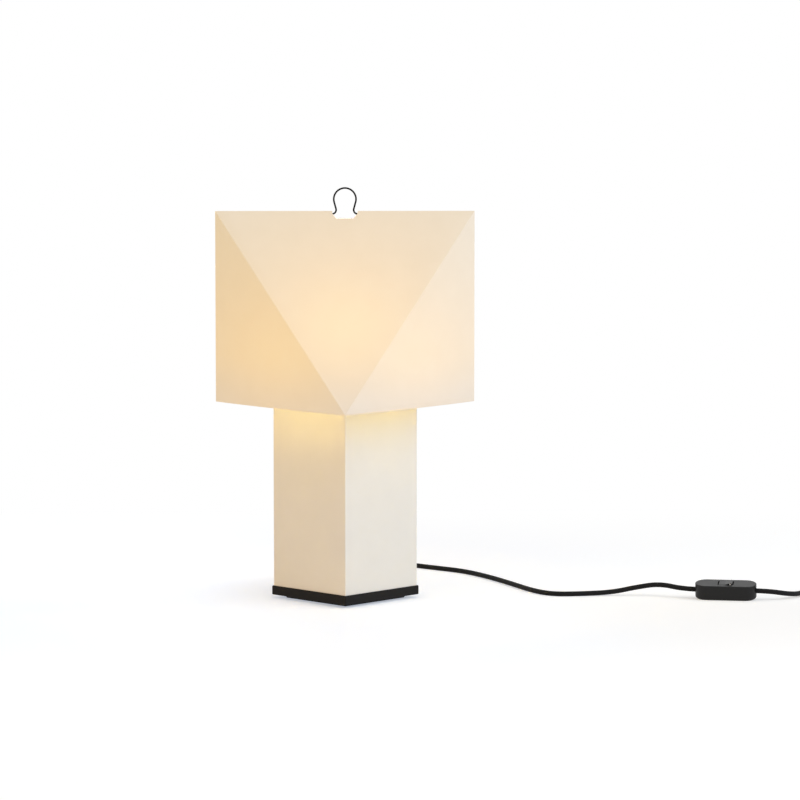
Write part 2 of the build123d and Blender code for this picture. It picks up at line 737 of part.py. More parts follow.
def switch_base():
    low = -SWITCH_HEIGHT / 2
    floor = low + SWITCH_WALL
    base = stadium(SWITCH_LENGTH, SWITCH_WIDTH, low, 0)
    base = fillet(base.edges().group_by(Axis.Z)[0], SWITCH_ROUND)
    base -= switch_inside(floor, 0)
    for x, y in post_places():
        base += rod(POST_RADIUS, floor, 0, x, y)
        base -= rod(SMALL_SCREW_HEAD + PILOT_PLAY, low, low + 0.3, x, y)
    for screw in switch_screw_list(PILOT_PLAY):
        base -= screw
    return base - cord_entries()


def switch_cover():
    high = SWITCH_HEIGHT / 2
    ceiling = high - SWITCH_WALL
    cover = stadium(SWITCH_LENGTH, SWITCH_WIDTH, 0, high)
    cover = chamfer(cover.edges().group_by(Axis.Z)[-1], SWITCH_EDGE)
    cover -= switch_inside(0, ceiling)
    for x, y in post_places():
        cover += rod(POST_RADIUS, 0, ceiling, x, y)
    for screw in switch_screw_list(PILOT_PLAY):
        cover -= screw
    lug_y = ROCKER_WIDTH / 2 + ROCKER_PLAY + LUG_THICK / 2
    lug_low = ROCKER_PIVOT_UP - LUG_HALF_WIDTH
    for side in (-1, 1):
        cover += block(2 * LUG_HALF_WIDTH, LUG_THICK, lug_low, ceiling, 0, side * lug_y)
    window = 2 * (ROCKER_ROUND + ROCKER_PLAY)
    cover -= block(window, ROCKER_WIDTH + 2 * ROCKER_PLAY, ceiling - 0.01, high)
    return cover - rocker_pin(HOLE_PLAY / 2) - cord_entries()


def rocker_pin(play=0.0):
    length = ROCKER_WIDTH + 2 * (ROCKER_PLAY + LUG_THICK)
    return Pos(0, 0, ROCKER_PIVOT_UP) * Rot(90, 0, 0) * Cylinder(PIN_RADIUS + play, length)


def pressed(shape):
    """Tip a piece of the rocker about its pin, so that its left end is pressed in."""
    pivot = Pos(0, 0, ROCKER_PIVOT_UP)
    return pivot * Rot(0, -ROCKER_TILT, 0) * pivot.inverse() * shape


def rocker_top():
    """Height of the rocker's middle line when it stands level."""
    face_up = SWITCH_HEIGHT / 2 + ROCKER_PROUD - ROCKER_PIVOT_UP
    return ROCKER_PIVOT_UP + face_up / math.cos(math.radians(ROCKER_TILT))


def switch_rocker():
    """Shallow V on a round bar's ends, so that its ends clear the window as it tips."""
    rise = ROCKER_ROUND * math.tan(math.radians(ROCKER_TILT))
    low = ROCKER_PIVOT_UP - ROCKER_BELOW_PIVOT
    outline = [
        (-ROCKER_ROUND, low), (ROCKER_ROUND, low), (ROCKER_ROUND, rocker_top() + rise),
        (0, rocker_top()), (-ROCKER_ROUND, rocker_top() + rise),
    ]
    drum = Pos(0, 0, ROCKER_PIVOT_UP) * Rot(90, 0, 0) * Cylinder(ROCKER_ROUND, ROCKER_WIDTH)
    rocker = across(outline, ROCKER_WIDTH / 2) & drum
    return pressed(rocker - rocker_pin(PIN_RUNNING_PLAY) - rocker_mark_level())


def rocker_mark_level():
    """Round inlay in the rocker's front side near its right end, before the rocker is tipped."""
    mark_x = ROCKER_ROUND - MARK_FROM_END
    mark_y = -ROCKER_WIDTH / 2 + (MARK_DEEP - MARK_PROUD) / 2
    mark_z = rocker_top() + mark_x * math.tan(math.radians(ROCKER_TILT)) - MARK_BELOW_TOP
    return Pos(mark_x, mark_y, mark_z) * Rot(90, 0, 0) * Cylinder(MARK_RADIUS, MARK_DEEP + MARK_PROUD)


def rocker_mark():
    return pressed(rocker_mark_level())


def switch_terminals():
    """Brass clamps for the lead's cores, one at each end."""
    floor = -SWITCH_HEIGHT / 2 + SWITCH_WALL
    length, width, height = TERMINAL_SIZE
    return Compound([
        block(length, width, floor, floor + height, side * TERMINAL_OUT).solid() for side in (-1, 1)
    ])


def in_switch(x):
    """World point on the lead's axis through the switch, x from its middle."""
    return (switch_place() * Pos(x, 0, SWITCH_ENTRY_UP)).position


# ---------------------------------------------------------------- free lead
def free_lead(name, points):
    """Tube of straight runs and the largest tangent arcs they allow; prints what it measures."""
    points = [Vector(*point) for point in points]
    runs = [(b - a).length for a, b in zip(points, points[1:])]
    radii = []
    for index in range(1, len(points) - 1):
        before = points[index] - points[index - 1]
        after = points[index + 1] - points[index]
        half_turn = math.radians(before.get_angle(after)) / 2
        radii.append(0.45 * min(runs[index - 1], runs[index]) / math.tan(half_turn))
    path = FilletPolyline(*points, radius=radii)
    tube = tube_along(path, CORD_RADIUS)
    section = math.pi * CORD_RADIUS ** 2
    print(f"{name}: length {path.length:.1f}, volume over section x length {tube.volume / section / path.length:.5f}")
    print("  radii", " ".join(f"{radius:.0f}" for radius in radii))
    print("  runs", " ".join(f"{run:.0f}" for run in runs))
    return tube


def lamp_side_points():
    half = SWITCH_LENGTH / 2
    mouth = (Rot(0, 0, 45) * Pos(0, BUSH_MOUTH, EXIT_Z)).position
    outside = (Rot(0, 0, 45) * Pos(0, BUSH_MOUTH + RUN_FROM_BUSH, EXIT_Z)).position
    return [mouth, outside, *LAMP_ROUTE, in_switch(-half - RUN_FROM_SWITCH), in_switch(ENTRY_DEPTH - half)]


def flat(heading):
    """Level unit vector of a compass heading, anticlockwise from +X."""
    angle = math.radians(heading)
    return Vector(math.cos(angle), math.sin(angle), 0)


def wall_side_points():
    half = SWITCH_LENGTH / 2
    start = Vector(*COIL_START, COIL_Z)
    before = start - flat(COIL_HEADING) * RUN_INTO_COIL
    return [in_switch(half - ENTRY_DEPTH), in_switch(half + RUN_FROM_SWITCH), *WALL_ROUTE, before, start]


def half_turn(start, heading, radius, rise=0.0):
    """Clockwise half turn that may climb; a tilted circle keeps both its ends level."""
    right = flat(heading - 90)
    across_half = math.sqrt(radius ** 2 - (rise / 2) ** 2)
    middle = start + right * across_half + flat(heading) * radius + Vector(0, 0, rise / 2)
    end = start + right * (2 * across_half) + Vector(0, 0, rise)
    return ThreePointArc(start, middle, end), end


def coil_edges():
    """In on the lower layer, up in the innermost half turn, out on the upper layer, and a quarter more."""
    step = TURN_PITCH / 2
    inward = [COIL_OUTER_TURN - step * turn for turn in range(SPIRAL_HALF_TURNS)]
    innermost = COIL_OUTER_TURN - step * SPIRAL_HALF_TURNS
    outward = inward[:0:-1]
    steps = [(radius, 0.0) for radius in inward] + [(innermost, TURN_PITCH)] + [(radius, 0.0) for radius in outward]
    here = Vector(*COIL_START, COIL_Z)
    heading = COIL_HEADING
    lead_in = here + flat(heading) * (2 * CORD_RADIUS)
    edges = [Line(here, lead_in)]
    here = lead_in
    for radius, rise in steps:
        arc, here = half_turn(here, heading, radius, rise)
        edges.append(arc)
        heading -= 180
    right = flat(heading - 90)
    centre = here + right * COIL_OUTER_TURN
    on_quarter = centre - right * (COIL_OUTER_TURN * math.cos(math.pi / 4))
    on_quarter += flat(heading) * (COIL_OUTER_TURN * math.sin(math.pi / 4))
    end = centre + flat(heading) * COIL_OUTER_TURN
    edges.append(ThreePointArc(here, on_quarter, end))
    heading -= 90
    edges.append(Line(end, end + flat(heading) * (2 * CORD_RADIUS)))
    return edges, heading


def least_gap(path):
    """Least distance between the surfaces of stretches that lie more than a third of a turn apart."""
    count = 1600
    points = [path @ (index / count) for index in range(count + 1)]
    apart = int(count * (2 * COIL_OUTER_TURN * 0.9) / path.length)
    least = min(
        (points[i] - points[j]).length for i in range(0, count + 1, 4) for j in range(i + apart, count + 1)
    )
    return least - 2 * CORD_RADIUS


def cord_coil():
    edges, _ = coil_edges()
    path = Wire(edges)
    coil = tube_along(path, CORD_RADIUS)
    section = math.pi * CORD_RADIUS ** 2
    print(f"cord_coil: length {path.length:.1f}, volume over section x length {coil.volume / section / path.length:.5f}")
    print(f"  least gap to itself {least_gap(path):.2f}")
    return coil


def tail_points():
    edges, heading = coil_edges()
    start = edges[-1] @ 1
    end = Vector(*TAIL_ROUTE[-1]) + flat(PLUG_HEADING) * RUN_INTO_PLUG
    return [start, start + flat(heading) * RUN_FROM_COIL, *TAIL_ROUTE, end]


def cord_tie():
    """Hook-and-loop band round the four strands on the near side of the coil, with its free tab."""
    forward = flat(COIL_HEADING)
    start = Vector(*COIL_START, 0) + forward * (2 * CORD_RADIUS)
    centre = start + flat(COIL_HEADING - 90) * COIL_OUTER_TURN
    middle = centre - forward * (COIL_OUTER_TURN - TURN_PITCH - TIE_INWARD)
    wide = TURN_PITCH + 2 * CORD_RADIUS + 2 * TIE_SIDE_PLAY
    tall = TURN_PITCH + 2 * CORD_RADIUS + 2 * TIE_FLOOR_PLAY
    band = Box(wide + 2 * TIE_THICK, TIE_WIDTH, tall + 2 * TIE_THICK)
    band = fillet(band.edges().filter_by(Axis.Y), 2.5)
    hole = Box(wide, 2 * TIE_WIDTH, tall)
    hole = fillet(hole.edges().filter_by(Axis.Y), 1.6)
    tab = Pos(wide / 2 + 1.5 * TIE_THICK, 0, tall / 2 - TIE_TAB / 2) * Box(TIE_THICK, TIE_WIDTH, TIE_TAB)
    tie = band + tab - hole
    return Pos(middle.X, middle.Y, tall / 2 + TIE_THICK) * Rot(0, 0, COIL_HEADING + 180) * tie


# ---------------------------------------------------------------- plug
def plug_place():
    """Frame of the plug: X out of its pins, origin where the lead enters its strain relief."""
    mouth = tail_points()[-1]
    return Pos(mouth.X, mouth.Y, mouth.Z) * Rot(0, 0, PLUG_HEADING)


def plug_relief():
    bore = CORD_RADIUS + BORE_PLAY
    sleeve = turned([
        (bore, 0), (RELIEF_TIP_RADIUS, 0), (RELIEF_ROOT_RADIUS, RELIEF_LENGTH), (bore, RELIEF_LENGTH)
    ])
    core = rod(bore, 2.0, RELIEF_LENGTH)
    return Rot(0, 90, 0) * (sleeve + core)


def plug_slot(width, thick):
    return Rot(0, 90, 0) * Rot(0, 0, 90) * RectangleRounded(width, thick, 0.45 * thick)


def plug_body():
    shoulder = 0.45 * PLUG_LENGTH
    tail = Pos(RELIEF_LENGTH, 0, 0) * plug_slot(PLUG_TAIL_WIDTH, PLUG_TAIL_THICK)
    wide = Pos(RELIEF_LENGTH + shoulder, 0, 0) * plug_slot(PLUG_WIDTH, PLUG_THICK)
    face = Pos(RELIEF_LENGTH + PLUG_LENGTH, 0, 0) * plug_slot(PLUG_WIDTH, PLUG_THICK)
    body = loft([tail, wide], ruled=True) + loft([wide, face], ruled=True)
    return body - plug_pin_solids(PILOT_PLAY)


def plug_pin_solids(play=0.0):
    radius = PLUG_PIN_RADIUS + play
    face = RELIEF_LENGTH + PLUG_LENGTH
    low = face - PLUG_PIN_ROOT - play
    tip = face + PLUG_PIN_LENGTH
    pins = []
    for side in (-1, 1):
        pin = rod(radius, low, tip)
        pin = fillet(pin.edges().group_by(Axis.Z)[-1], 0.8 * PLUG_PIN_RADIUS)
        pins.append((Pos(0, side * PIN_SPACING / 2, 0) * Rot(0, 90, 0) * pin).solid())
    return pins


# ---------------------------------------------------------------- all nodes
def lamp_nodes():
    nodes = {
        "foot_pad": corner_on(foot_pad()),
        "base_plate": corner_on(base_plate()),
        "base_screws": corner_on(Compound([screw.solid() for screw in base_screw_list()])),
        "bottom_board": corner_on(bottom_board()),
        "column_board_front_right": corner_on(column_board(0)),
        "column_board_back_right": corner_on(column_board(1)),
        "column_board_back_left": corner_on(column_board(2) - bush_hole()),
        "column_board_front_left": corner_on(column_board(3)),
        "column_wrap": corner_on(column_wrap()),
        "corner_battens": corner_on(battens()),
        "top_board": corner_on(top_board()),
        "top_screws": corner_on(Compound([screw.solid() for screw in top_screw_list()])),
        "shade_seat": corner_on(shade_seat()),
        "threaded_tube": threaded_tube(),
        "lock_washer": lock_washer(),
        "lock_nut": lock_nut(),
        "holder_cap": holder_cap(),
        "terminal_block": terminal_block(),
        "centre_contact": centre_contact(),
        "screw_sleeve": screw_sleeve(),
        "holder_shell": holder_shell(),
        "lamp_tip": lamp_tip(),
        "lamp_cap": lamp_cap(),
        "lamp_neck": lamp_neck(),
        "lamp_globe": lamp_globe(),
        "inner_lead": corner_on(inner_lead()),
        "cord_bush": corner_on(cord_bush()),
        "bush_nut": corner_on(bush_nut()),
        "saddle_base": corner_on(saddle_base()),
        "saddle_bar": corner_on(saddle_bar()),
        "saddle_screws": corner_on(Compound([screw.solid() for screw in saddle_screw_list()])),
    }
    nodes.update(shade_panels())
    nodes.update({
        "ridge_wire": ridge_wire(),
        "upright_left": upright(-1),
        "upright_right": upright(1),
        "spoke_left": spoke(180, side_spoke_end()),
        "spoke_right": spoke(0, side_spoke_end()),
        "spoke_front": spoke(-90, front_spoke_end()),
        "spoke_back": spoke(90, front_spoke_end()),
        "shade_hub": corner_on(shade_hub()),
    })
    return nodes


def cord_nodes():
    place = switch_place()
    plug = plug_place()
    return {
        "cord_lamp_side": free_lead("cord_lamp_side", lamp_side_points()),
        "switch_base": place * switch_base(),
        "switch_cover": place * switch_cover(),
        "switch_screws": place * Compound([screw.solid() for screw in switch_screw_list()]),
        "switch_terminals": place * switch_terminals(),
        "rocker_pin": place * rocker_pin(),
        "switch_rocker": place * switch_rocker(),
        "rocker_mark": place * rocker_mark(),
        "cord_wall_side": free_lead("cord_wall_side", wall_side_points()),
        "cord_coil": cord_coil(),
        "cord_tie": cord_tie(),
        "cord_tail": free_lead("cord_tail", tail_points()),
        "plug_relief": plug * plug_relief(),
        "plug_body": plug * plug_body(),
        "plug_pins": plug * Compound(plug_pin_solids()),
    }


def main():
    os.makedirs("parts", exist_ok=True)
    nodes = {**lamp_nodes(), **cord_nodes()}
    for name, shape in nodes.items():
        solids = shape.solids()
        export_step(solids[0] if len(solids) == 1 else Compound(solids), f"parts/{name}.step")
    pivot = (switch_place() * Pos(0, 0, ROCKER_PIVOT_UP)).position
    axis = (switch_place() * Pos(0, 1, ROCKER_PIVOT_UP)).position - pivot
    print("rocker pivot", tuple(round(value, 4) for value in pivot), "axis", tuple(round(value, 6) for value in axis))
    print(len(nodes), "nodes")


main()
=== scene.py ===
import json
import math

import bmesh
import bpy
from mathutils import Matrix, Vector


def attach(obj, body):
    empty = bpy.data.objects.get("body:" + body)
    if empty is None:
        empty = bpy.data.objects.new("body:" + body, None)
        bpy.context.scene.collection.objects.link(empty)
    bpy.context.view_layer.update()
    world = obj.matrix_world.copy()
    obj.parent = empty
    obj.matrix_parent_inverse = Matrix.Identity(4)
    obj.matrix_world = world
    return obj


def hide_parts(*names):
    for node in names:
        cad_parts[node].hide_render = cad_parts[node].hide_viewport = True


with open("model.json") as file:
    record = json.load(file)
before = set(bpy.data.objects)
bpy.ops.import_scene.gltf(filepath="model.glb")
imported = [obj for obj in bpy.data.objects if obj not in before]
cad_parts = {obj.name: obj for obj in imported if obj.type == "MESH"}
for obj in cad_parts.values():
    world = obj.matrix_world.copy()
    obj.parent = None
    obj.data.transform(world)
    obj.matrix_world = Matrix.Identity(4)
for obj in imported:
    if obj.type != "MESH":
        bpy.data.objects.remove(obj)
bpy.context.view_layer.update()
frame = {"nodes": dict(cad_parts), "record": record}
nodes = frame["nodes"]

# ------------------------------------------------------------------ sizes, in metres
SHADE_SIDE = 0.22
HALF_DIAGONAL = SHADE_SIDE / math.sqrt(2)
RIDGE = 0.4684
RIM = 0.2388
RIM_BOW = 0.005
PAPER = 0.0008
CREASE = 0.0006
NOTCH_TOP_HALF = 0.0152
NOTCH_SIDE = 0.003
NOTCH_FOOT_HALF = 0.0103
NOTCH_DEPTH = 0.0089
GLOW_CENTRE = (0.0, 0.0, 0.300)
GLOW_SPREAD = (0.105, 0.105, 0.085)

LEAD = 0.006
COIL_START = Vector((0.582, 0.046, 0.0042))
COIL_HEADING = 42.0
COIL_OUTER_TURN = 0.0395
TURN_PITCH = 0.0065
SPIRAL_HALF_TURNS = 4
COIL_RUN_OUT = 0.027
PLUG_HEADING = -112.0
PLUG_RUN_IN = 0.021
BRAID_PITCH = 0.0046
BRAID_THREADS = 8.0


# ------------------------------------------------------------------ camera and lead first
CAMERA_PLACE = (0.0, -5.4607, 0.8252)
CAMERA_DOWN = 0.1067
CAMERA_RIGHT = 0.0121
SENSOR_MM = 36.0
LENS_MM = 205.2


def make_camera():
    data = bpy.data.cameras.new("photo_camera")
    data.sensor_width = SENSOR_MM
    data.lens = LENS_MM
    data.clip_start = 0.1
    data.clip_end = 60.0
    camera = bpy.data.objects.new("photo_camera", data)
    camera.location = CAMERA_PLACE
    camera.rotation_euler = (math.pi / 2 - CAMERA_DOWN, 0.0, -CAMERA_RIGHT)
    bpy.context.collection.objects.link(camera)
    bpy.context.scene.camera = camera


def flat(heading):
    """Level unit vector, anticlockwise from +X."""
    angle = math.radians(heading)
    return Vector((math.cos(angle), math.sin(angle), 0.0))


def half_turn_points(start, heading, radius, rise=0.0):
    """Control points of a clockwise half turn, after its start; they lie outside the turn."""
    right, forward = flat(heading - 90), flat(heading)
    steps = 6
    outside = radius / math.cos(math.pi / (2 * steps))
    centre = start + right * radius
    points = []
    for step in range(steps):
        share = (step + 0.5) / steps
        angle = math.pi * share
        point = centre - right * (outside * math.cos(angle)) + forward * (outside * math.sin(angle))
        points.append(point + Vector((0, 0, rise * share)))
    return points, start + right * (2 * radius) + Vector((0, 0, rise))


def coil_points():
    """In on the lower layer, up in the innermost half turn, out on the upper one, a quarter more."""
    step = TURN_PITCH / 2
    inward = [COIL_OUTER_TURN - step * turn for turn in range(SPIRAL_HALF_TURNS)]
    turns = [(radius, 0.0) for radius in inward]
    turns += [(COIL_OUTER_TURN - step * SPIRAL_HALF_TURNS, TURN_PITCH)]
    turns += [(radius, 0.0) for radius in inward[:0:-1]]
    here, heading = COIL_START + flat(COIL_HEADING) * LEAD, COIL_HEADING
    points = []
    for radius, rise in turns:
        new, here = half_turn_points(here, heading, radius, rise)
        points += new
        heading -= 180
    last, _ = half_turn_points(here, heading, COIL_OUTER_TURN)
    points += last[:3]
    heading -= 90
    end = here + flat(heading) * COIL_OUTER_TURN + flat(heading + 90) * COIL_OUTER_TURN
    return points, end, heading


LAMP_SIDE = [
    (-0.06169, 0.06169, 0.034), (-0.07796, 0.07796, 0.034), (-0.0835, 0.102, 0.027), (-0.083, 0.128, 0.014),
    (-0.075, 0.161, 0.0031), (-0.057, 0.200, 0.0031), (-0.028, 0.234, 0.0031), (0.008, 0.259, 0.0031),
    (0.044, 0.272, 0.0031), (0.079, 0.259, 0.0031), (0.112, 0.230, 0.0031), (0.149, 0.200, 0.0031),
    (0.180, 0.147, 0.0031), (0.206, 0.088, 0.0031), (0.229, 0.032, 0.0031), (0.252, 0.004, 0.0031),
    (0.290, 0.008, 0.0031), (0.324, 0.011, 0.0044), (0.353, 0.013, 0.0102), (0.381, 0.009, 0.0149),
    (0.40876, -0.01173, 0.01147), (0.42993, -0.01546, 0.01147),
]
WALL_SIDE = [
    (0.48804, -0.02571, 0.01147), (0.50921, -0.02944, 0.01147), (0.537, -0.019, 0.006),
    (0.553, 0.005, 0.0034), (0.56565, 0.03128, 0.0042),
]
TAIL = [(0.668, 0.003, 0.007), (0.666, -0.023, 0.0046), (0.656, -0.047, 0.00685)]


def smooth_line(name, points):
    """Points along the NURBS line that a route's points steer."""
    data = bpy.data.curves.new(name, "CURVE")
    data.dimensions = "3D"
    data.resolution_u = 10
    spline = data.splines.new("NURBS")
    spline.points.add(len(points) - 1)
    for knot, point in zip(spline.points, points):
        knot.co = (*point, 1.0)
    spline.order_u = 3
    spline.use_endpoint_u = True
    curve = bpy.data.objects.new(name, data)
    bpy.context.collection.objects.link(curve)
    mesh = bpy.data.meshes.new_from_object(curve.evaluated_get(bpy.context.evaluated_depsgraph_get()))
    line = [vertex.co.copy() for vertex in mesh.vertices]
    bpy.data.objects.remove(curve)
    bpy.data.meshes.remove(mesh)
    return line


def lead_tube(name, line, radius, sides=18):
    """Closed tube along a line, with a UV map in metres along it and 0 to 1 round it."""
    mesh = bpy.data.meshes.new(name)
    tube = bmesh.new()
    uv = tube.loops.layers.uv.new("along")
    side = Vector((0, 0, 1))
    rings, reach = [], [0.0]
    for index, point in enumerate(line):
        ahead = line[min(index + 1, len(line) - 1)] - line[max(index - 1, 0)]
        ahead.normalize()
        side = (side - ahead * side.dot(ahead)).normalized()
        other = ahead.cross(side)
        ring = []
        for step in range(sides):
            angle = 2 * math.pi * step / sides
            ring.append(tube.verts.new(point + (side * math.cos(angle) + other * math.sin(angle)) * radius))
        rings.append(ring)
        if index:
            reach.append(reach[-1] + (point - line[index - 1]).length)
    for index in range(len(rings) - 1):
        for step in range(sides):
            after = (step + 1) % sides
            ring, further = rings[index], rings[index + 1]
            face = tube.faces.new((ring[step], ring[after], further[after], further[step]))
            face.smooth = True
            places = ((index, step), (index, step + 1), (index + 1, step + 1), (index + 1, step))
            for loop, (row, column) in zip(face.loops, places):
                loop[uv].uv = (reach[row], column / sides)
    tube.faces.new(rings[0][::-1])
    tube.faces.new(rings[-1])
    tube.to_mesh(mesh)
    tube.free()
    piece = bpy.data.objects.new(name, mesh)
    bpy.context.collection.objects.link(piece)
    return piece


make_camera()
coil, coil_end, coil_out = coil_points()
tail_start = coil_end + flat(coil_out) * COIL_RUN_OUT
tail_end = Vector(TAIL[-1]) + flat(PLUG_HEADING) * PLUG_RUN_IN
wall_route = [*WALL_SIDE, *coil, tail_start, *TAIL, tail_end]
lamp_line = smooth_line("lamp_side_line", LAMP_SIDE)
wall_line = smooth_line("wall_side_line", wall_route)
lead_lamp_side = lead_tube("lead_lamp_side", lamp_line, LEAD / 2)
lead_wall_side = lead_tube("lead_wall_side", wall_line, LEAD / 2)


# ------------------------------------------------------------------ node trees
class Wire:
    """A socket with arithmetic: each operation adds its Math node."""

    def __init__(self, tree, socket):
        self.tree = tree
        self.socket = socket

    def math(self, operation, *others):
        return self.tree.add("ShaderNodeMath", {"operation": operation}, self, *others)

    def __add__(self, other):
        return self.math("ADD", other)

    def __mul__(self, other):
        return self.math("MULTIPLY", other)

    def __sub__(self, other):
        return self.math("SUBTRACT", other)

    def __pow__(self, other):
        return self.math("POWER", other)

    def __rsub__(self, other):
        return self.tree.add("ShaderNodeMath", {"operation": "SUBTRACT"}, other, self)

    __radd__ = __add__
    __rmul__ = __mul__


class NodeTree:
    """Adds nodes to a tree and links or sets their sockets."""

    def __init__(self, tree):
        self.tree = tree

    def plug(self, target, value):
        """Link a wire to a socket, or set the socket; a colour may leave out its alpha."""
        if isinstance(value, Wire):
            self.tree.links.new(value.socket, target)
        elif target.type == "RGBA" and len(value) == 3:
            target.default_value = (*value, 1.0)
        else:
            target.default_value = value

    def add(self, kind, settings=None, *values, out=0, **named):
        """A node's output, once its settings and then its sockets are set, by order or by name."""
        node = self.tree.nodes.new(kind)
        for key, value in (settings or {}).items():
            if key == "stops":
                self.colour_stops(node, value)
            else:
                setattr(node, key, value)
        for target, value in zip(node.inputs, values):
            if value is not None:
                self.plug(target, value)
        for key, value in named.items():
            self.plug(node.inputs[key.replace("_", " ")], value)
        return Wire(self, node.outputs[out])

    @staticmethod
    def colour_stops(node, stops):
        while len(node.color_ramp.elements) < len(stops):
            node.color_ramp.elements.new(0.5)
        for element, (place, colour) in zip(node.color_ramp.elements, stops):
            element.position = place
            element.color = (*colour, 1.0)

    def part(self, vector, axis):
        return self.add("ShaderNodeSeparateXYZ", None, vector, out=axis)

    def climb(self, value, start):
        """0 before the start, 1 from one unit after it, straight between."""
        return self.add("ShaderNodeMapRange", None, value, start, start + 1.0)

    def seen(self):
        """1 for the rays that show the background: from the camera, a mirror or glass."""
        kinds = ("Is Camera Ray", "Is Glossy Ray", "Is Transmission Ray")
        camera, glossy, transmission = [self.add("ShaderNodeLightPath", out=kind) for kind in kinds]
        return camera + glossy + transmission


# ------------------------------------------------------------------ folded shade
class ShapeTree(NodeTree):
    """A Geometry Nodes tree with named sizes as its inputs."""

    def __init__(self, name, sizes):
        super().__init__(bpy.data.node_groups.new(name, "GeometryNodeTree"))
        self.tree.interface.new_socket("Geometry", in_out="OUTPUT", socket_type="NodeSocketGeometry")
        self.sizes = sizes
        for size in sizes:
            self.tree.interface.new_socket(size, in_out="INPUT", socket_type="NodeSocketFloat")
        self.inlet = self.tree.nodes.new("NodeGroupInput")

    def size(self, name):
        return Wire(self, self.inlet.outputs[name])

    def finish(self, geometry, material):
        """Close the tree with plain geometry in one material."""
        real = self.add("GeometryNodeRealizeInstances", None, geometry)
        done = self.add("GeometryNodeSetMaterial", None, real, Material=material)
        outlet = self.tree.nodes.new("NodeGroupOutput")
        self.tree.links.new(done.socket, outlet.inputs[0])

    def put_on(self, piece):
        modifier = piece.modifiers.new(self.tree.name, "NODES")
        modifier.node_group = self.tree
        for socket in self.tree.interface.items_tree:
            if socket.in_out == "INPUT":
                modifier[socket.identifier] = self.sizes[socket.name]


MERGE = 0.00001


def folded_sheet_tree(material):
    """One sheet of six facets between a straight ridge and a square rim.

    Once round the sheet is six units long. In the front and back facets the top edge runs along the
    ridge and the foot stays in a corner of the rim. In the other four the top edge stays at an end of
    the ridge and the foot runs along a side of the rim, which bows outwards.
    """
    tree = ShapeTree("folded sheet", {
        "Ridge Height": RIDGE, "Rim Height": RIM, "Half Diagonal": HALF_DIAGONAL, "Rim Bow": RIM_BOW,
    })
    ridge, rim = tree.size("Ridge Height"), tree.size("Rim Height")
    reach, bow = tree.size("Half Diagonal"), tree.size("Rim Bow")
    facets, across, down = 6, 20, 28
    grid = tree.add("GeometryNodeMeshGrid", None, float(facets), 1.0, facets * across + 1, down + 1)
    place = tree.add("GeometryNodeInputPosition")
    around = tree.part(place, "X") + facets / 2
    drop = 0.5 - tree.part(place, "Y")
    shares = [tree.climb(around, start) for start in range(facets)]
    front, front_right, back_right, back, back_left, front_left = shares
    top_x = (front * 2.0 - back * 2.0 - 1.0) * reach
    foot_x = (front_right - back_right - back_left + front_left) * reach
    foot_y = (front_right + back_right - back_left - front_left - 1.0) * reach
    swell = bow * (4.0 * math.sqrt(0.5))
    bowed = (front_right, back_right, back_left, front_left)
    swells = [share * (1.0 - share) * swell for share in bowed]
    foot_x = foot_x + swells[0] + swells[1] - swells[2] - swells[3]
    foot_y = foot_y - swells[0] + swells[1] + swells[2] - swells[3]
    x = top_x + (foot_x - top_x) * drop
    y = foot_y * drop
    z = ridge + (rim - ridge) * drop
    point = tree.add("ShaderNodeCombineXYZ", None, x, y, z)
    sheet = tree.add("GeometryNodeSetPosition", None, grid, Position=point)
    sheet = tree.add("GeometryNodeMergeByDistance", None, sheet, Distance=MERGE)
    tree.finish(sheet, material)
    return tree


def notch_cutter():
    """Block with the notch's outline that runs through both sides of the fold and out at the top."""
    above, half_run = 0.002, 0.02
    points = [
        (-NOTCH_FOOT_HALF, -NOTCH_DEPTH), (NOTCH_FOOT_HALF, -NOTCH_DEPTH), (NOTCH_TOP_HALF, -NOTCH_SIDE),
        (NOTCH_TOP_HALF, above), (-NOTCH_TOP_HALF, above), (-NOTCH_TOP_HALF, -NOTCH_SIDE),
    ]
    cutter = bmesh.new()
    near = [cutter.verts.new((x, -half_run, RIDGE + z)) for x, z in points]
    far = [cutter.verts.new((x, half_run, RIDGE + z)) for x, z in points]
    cutter.faces.new(near)
    cutter.faces.new(far[::-1])
    for index in range(len(points)):
        after = (index + 1) % len(points)
        cutter.faces.new((near[after], near[index], far[index], far[after]))
    bmesh.ops.recalc_face_normals(cutter, faces=cutter.faces)
    mesh = bpy.data.meshes.new("notch_cutter")
    cutter.to_mesh(mesh)
    cutter.free()
    piece = bpy.data.objects.new("notch_cutter", mesh)
    bpy.context.collection.objects.link(piece)
    return piece


def bake_modifiers(piece):
    """The piece's modifiers turned into its own plain mesh."""
    mesh = bpy.data.meshes.new_from_object(piece.evaluated_get(bpy.context.evaluated_depsgraph_get()))
    piece.modifiers.clear()
    piece.data = mesh


def make_shade(material):
    shade = bpy.data.objects.new("shade_folded_paper", bpy.data.meshes.new("shade_folded_paper"))
    bpy.context.collection.objects.link(shade)
    folded_sheet_tree(material).put_on(shade)
    skin = shade.modifiers.new("paper thickness", "SOLIDIFY")
    skin.thickness = PAPER
    skin.offset = -1
    skin.use_even_offset = True
    skin.use_quality_normals = True
    cutter = notch_cutter()
    cut = shade.modifiers.new("notch", "BOOLEAN")
    cut.operation = "DIFFERENCE"
    cut.object = cutter
    cut.solver = "EXACT"
    crease = shade.modifiers.new("soft creases", "BEVEL")
    crease.width = CREASE
    crease.segments = 2
    crease.limit_method = "ANGLE"
    crease.angle_limit = math.radians(12)
    bake_modifiers(shade)
    bpy.data.objects.remove(cutter)
    for face in shade.data.polygons:
        face.use_smooth = True
    shade.data.set_sharp_from_angle(angle=math.radians(25))
    return shade


